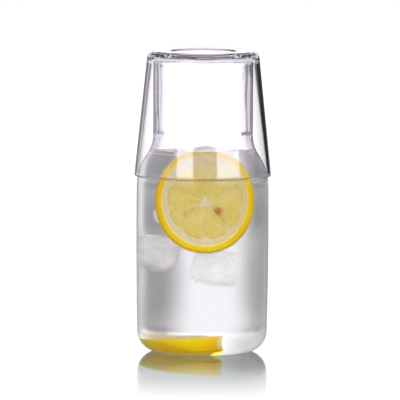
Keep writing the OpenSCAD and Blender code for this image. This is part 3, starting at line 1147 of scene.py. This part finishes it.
def lowered(n, level, amount, to):
    """A level drawn towards another one by an amount."""
    return n.plus(level, n.times(amount, n.math("SUBTRACT", to, level)))


def rays_of(n):
    """One for camera rays, for rays that the object mirrored, and for rays that it let through."""
    rays = n.add("ShaderNodeLightPath").outputs
    through = rays["Is Transmission Ray"]
    mirrored = n.times(rays["Is Glossy Ray"], n.rest(through))
    return rays["Is Camera Ray"], mirrored, through


def darker_when_mirrored(n, colour, dim):
    """Light let through after it was mirrored inside the glass or by the floor comes out dimmer."""
    rays = n.add("ShaderNodeLightPath").outputs
    mirrors = n.math("GREATER_THAN", rays["Glossy Depth"], 0.5)
    amount = n.times(mirrors, rays["Is Transmission Ray"])
    return n.blend(amount, colour, dim, "MULTIPLY")


def between(n, value, rise, fall):
    """One where a value is past its rise and short of its fall."""
    return n.times(n.ramp(value, *rise), n.ramp(value, *fall))


def make_world():
    """White all round, with dark cards low down that draw the edges of the glass."""
    world = bpy.data.worlds.new("studio")
    bpy.context.scene.world = world
    n = Nodes(world)
    parts = n.add("ShaderNodeSeparateXYZ", {0: n.add("ShaderNodeTexCoord").outputs["Generated"]}).outputs
    up = parts[2]
    camera, mirrored, through = rays_of(n)
    studio = n.plus(mirrored, through, clamp=True)
    azimuth = n.math("ARCTAN2", parts[0], parts[1])
    low = between(n, up, CARD_FROM, CARD_UP_TO)
    level = lowered(n, SKY, n.times(dip(n, azimuth, *CARD_DIP), low), CARD)
    level = lowered(n, level, n.times(dip(n, azimuth, *GRAY_DIP), low), GRAY_CARD)
    side = n.times(dip(n, azimuth, *SIDE_DIP), n.ramp(up, *SIDE_UP_TO))
    level = lowered(n, level, side, SIDE_CARD)
    level = n.plus(n.times(through, level), camera)
    shine = lowered(n, 1.0, n.ramp(up, *HORIZON), n.ramp(parts[0], *HORIZON_SHINE))
    shine = lowered(n, shine, n.ramp(up, *CEILING_FROM), CEILING)
    level = n.plus(level, n.times(mirrored, shine))
    other = n.rest(n.plus(camera, studio, clamp=True))
    level = n.plus(level, n.times(other, SURROUND_DIFFUSE))
    dim = n.blend(n.ramp(up, *MIRRORED_FROM), INNER_DIM, MIRRORED_DIM)
    dim = n.blend(n.times(dip(n, azimuth, *FAR_DIP), n.ramp(up, *FAR_UP_TO)), dim, FAR_DIM)
    dim = n.blend(n.ramp(azimuth, *[math.radians(a) for a in LEFT_FROM]), dim, LEFT_DIM)
    dim = n.blend(n.ramp(up, *HIGH_FROM), dim, HIGH_DIM)
    tint = n.blend(mirrored, darker_when_mirrored(n, (1, 1, 1, 1), dim), MIRRORED_SKY)
    n.output(n.add("ShaderNodeBackground", {"Color": tint, "Strength": level}).outputs[0])


def stage_mesh(name, corners, material):
    """One flat face, whose corners are in metres."""
    mesh = bpy.data.meshes.new(name)
    mesh.from_pydata(corners, [], [tuple(range(len(corners)))])
    mesh.materials.append(material)
    return link(name, mesh)


FLOOR_R = 2.5
FLOOR_CORNERS = 96
PAPER = (0.3, 0.3, 0.3, 1)
MIRROR = (0.65, 0.72, 0.665, 1)
MIRROR_REACH = (0.05, 0.31, 0.95, 0.0)
MIRROR_GRAZING = (0.5, 0.88, 0.15, 1)
MIRRORED_FLOOR = 0.25
NEAR_STUDIO = 0.77
STUDIO_FROM = (1.25, 1.5)
WHITE = (0.4, 1.4, 0.88, 0.99)
NEAR_TINT = (0.985, 0.97, 1.0, 1)
NEAR_TINT_TO = (1.5, 0.9)
NEAR_DIM = (0.98, 0.95, 1, 1)
NEAR_DIM_TO = (0.3, 0.5)
FAR_DIM_FROM = (1.35, 1.6)
NEAR_ZONE = ((0.07, 0.17), (0.8, 0.5))
FAR_ZONE = ((0.5, 0.8), (1.5, 0.9))
# painted shade seen only through and in the glass: dark patches on the floor by azimuth and distance
FLOOR_DIPS = (
    (NEAR_ZONE, ((21, 18, 6, 2), 0.97), ((-40, 31, 13, 2), 0.97)),
    (FAR_ZONE, ((25, 20, 3, 3), 0.85), ((-40, 28, 6, 3), 0.9)),
)
FLOOR_SIDE_DIP = (48, 8)


def make_floor():
    """A white acrylic sheet that mirrors the foot of the object, less and less away from it."""
    material, n = new_material("white_acrylic")
    x, y = n.place()[1:3]
    distance = n.math("SQRT", n.plus(n.times(x, x), n.times(y, y)))
    azimuth = n.math("ARCTAN2", x, y)
    camera, mirrored, through = rays_of(n)
    # painted shade seen only through and in the glass: the floor is dimmer near the object, with dark patches
    # by azimuth
    level = n.ramp(distance, *STUDIO_FROM, NEAR_STUDIO, STUDIO)
    for zone, *dips in FLOOR_DIPS:
        inside = between(n, distance, *zone)
        for place, depth in dips:
            level = n.times(level, n.rest(n.times(n.times(dip(n, azimuth, *place), inside), depth)))
    side = n.times(dip(n, azimuth, *FLOOR_SIDE_DIP), n.ramp(distance, *STUDIO_FROM))
    level = lowered(n, level, side, SIDE_CARD)
    seen = n.plus(through, n.times(mirrored, MIRRORED_FLOOR))
    strength = n.plus(n.times(camera, n.ramp(distance, *WHITE)), n.times(seen, level))
    around = n.times(n.ramp(distance, *NEAR_TINT_TO), n.rest(camera))
    tint = n.blend(around, (1, 1, 1, 1), NEAR_TINT)
    dim = n.blend(n.ramp(distance, *NEAR_DIM_TO), NEAR_DIM, INNER_DIM)
    dim = n.blend(n.times(dip(n, azimuth, *FAR_DIP), n.ramp(distance, *FAR_DIM_FROM)), dim, FAR_DIM)
    tint = darker_when_mirrored(n, tint, dim)
    glow = n.add("ShaderNodeEmission", {"Color": tint, "Strength": strength}).outputs[0]
    paper = n.add("ShaderNodeBsdfDiffuse", {"Color": PAPER}).outputs[0]
    matt = n.add("ShaderNodeAddShader", {0: glow, 1: paper}).outputs[0]
    mirror = n.add("ShaderNodeBsdfGlossy", {"Color": MIRROR, "Roughness": 0.05}).outputs[0]
    shine = n.times(n.ramp(distance, *MIRROR_REACH), n.ramp(n.facing(), *MIRROR_GRAZING))
    n.output(n.mix(n.times(shine, camera), matt, mirror))
    angles = [2 * math.pi * i / FLOOR_CORNERS for i in range(FLOOR_CORNERS)]
    floor = stage_mesh("floor", [(FLOOR_R * math.cos(a), FLOOR_R * math.sin(a), 0) for a in angles], material)


BOX_GLARE = 4.2
BOX_GLARE_Z = (0.42, 0.37)
GLARE_TINT = (0.84, 0.86, 1.2, 1)
BOX_STRENGTH = 3.0
BOX_DISTANCE = 1.2
BOX_LOW = 0.22
BOX_HIGH = 1.3


def make_softbox(name, azimuth, width):
    """A tall white box of light. Azimuth is in degrees from -Y towards +X."""
    material, n = new_material(name)
    height = n.ramp(n.place()[3], *BOX_GLARE_Z)
    mirrored = rays_of(n)[1]
    glare = n.times(n.times(mirrored, height), BOX_GLARE)
    colour = n.blend(mirrored, (1, 1, 1, 1), GLARE_TINT)
    values = {"Color": colour, "Strength": n.plus(BOX_STRENGTH, glare)}
    n.output(n.add("ShaderNodeEmission", values).outputs[0])
    a = math.radians(azimuth)
    across = Vector((math.cos(a), math.sin(a), 0)) * width / 2
    base = Vector((math.sin(a), -math.cos(a), 0)) * BOX_DISTANCE
    left, right = base - across, base + across
    corners = [(left, BOX_LOW), (right, BOX_LOW), (right, BOX_HIGH), (left, BOX_HIGH)]
    box = stage_mesh(name, [(c.x, c.y, z) for c, z in corners], material)
    box.visible_camera = False
    box.visible_shadow = False


def make_lights():
    make_softbox("softbox_left", -31, 0.60)
    make_softbox("softbox_right", 45, 0.90)


CAMERA_BACK = 4.0
CAMERA_UP = 0.45
CAMERA_LENS = 600
AIM = (-0.00156, 0, 0.0914)
CAMERA_ROLL = 0.28


def make_camera():
    data = bpy.data.cameras.new("camera")
    data.lens = CAMERA_LENS
    camera = link("camera", data)
    camera.location = (AIM[0], -CAMERA_BACK, CAMERA_UP)
    towards = Vector(AIM) - camera.location
    camera.rotation_mode = "QUATERNION"
    camera.rotation_quaternion = towards.to_track_quat("-Z", "Y") @ Quaternion(
        (0, 0, 1), math.radians(CAMERA_ROLL)
    )
    bpy.context.scene.camera = camera


def set_scene():
    scene = bpy.context.scene
    scene.view_settings.view_transform = "Standard"
    cycles = scene.cycles
    cycles.max_bounces = 28
    cycles.transmission_bounces = 24
    cycles.glossy_bounces = 10
    cycles.diffuse_bounces = 4
    cycles.transparent_max_bounces = 24
    cycles.use_denoising = True


make_camera()
make_world()
make_floor()
make_lights()
set_scene()
make_carafe()
make_tumbler()
make_water()
for cube in ICE:
    make_ice(cube)
make_slice()
make_half()
make_bubbles()
